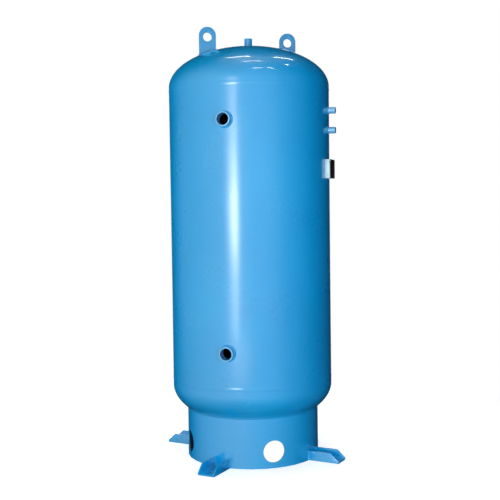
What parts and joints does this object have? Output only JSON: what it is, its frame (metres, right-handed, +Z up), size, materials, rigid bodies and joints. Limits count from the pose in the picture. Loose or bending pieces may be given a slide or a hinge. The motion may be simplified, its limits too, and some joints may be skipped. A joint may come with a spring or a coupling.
{
  "type": "vertical air receiver tank",
  "caption": "Upright compressed-air receiver: welded cylindrical shell with domed heads on a round skirt with channel feet, threaded pipe sockets, lifting lugs and a nameplate.",
  "frame": {"origin": "on the tank's vertical axis, at floor level under the feet", "axes": "+Z up along the tank's axis; -Y faces the viewer, so the front ports sit a little to the left of -Y and the side couplings near +X"},
  "size_m": [0.9544, 0.9544, 2.25],
  "materials": {
    "blue_paint": "glossy sky-blue enamel over welded steel, slightly wavy, with a few scuffs",
    "bare_sheet": "bare bright bent sheet, lightly brushed",
    "black_plate": "satin black data plate with blank fields and no lettering",
    "rivet_metal": "satin drive rivets"
  },
  "bodies": {
    "root": {"shell": "blue_paint", "top_head": "blue_paint", "bottom_head": "blue_paint", "skirt": "blue_paint", "foot_front": "blue_paint", "foot_right": "blue_paint", "foot_back": "blue_paint", "foot_left": "blue_paint", "lifting_lug_left": "blue_paint", "lifting_lug_right": "blue_paint", "upper_front_port": "blue_paint", "lower_front_port": "blue_paint", "upper_side_coupling": "blue_paint", "lower_side_coupling": "blue_paint", "top_port": "blue_paint", "drain_coupling": "blue_paint", "girth_weld_top": "blue_paint", "girth_weld_bottom": "blue_paint", "long_seam_weld": "blue_paint", "skirt_weld": "blue_paint", "upper_front_port_weld": "blue_paint", "lower_front_port_weld": "blue_paint", "upper_side_coupling_weld": "blue_paint", "lower_side_coupling_weld": "blue_paint", "top_port_weld": "blue_paint", "drain_coupling_weld": "blue_paint", "nameplate_bracket": "bare_sheet", "nameplate": "black_plate", "nameplate_rivet_1": "rivet_metal", "nameplate_rivet_2": "rivet_metal", "nameplate_rivet_3": "rivet_metal", "nameplate_rivet_4": "rivet_metal"}
  },
  "joints": []
}
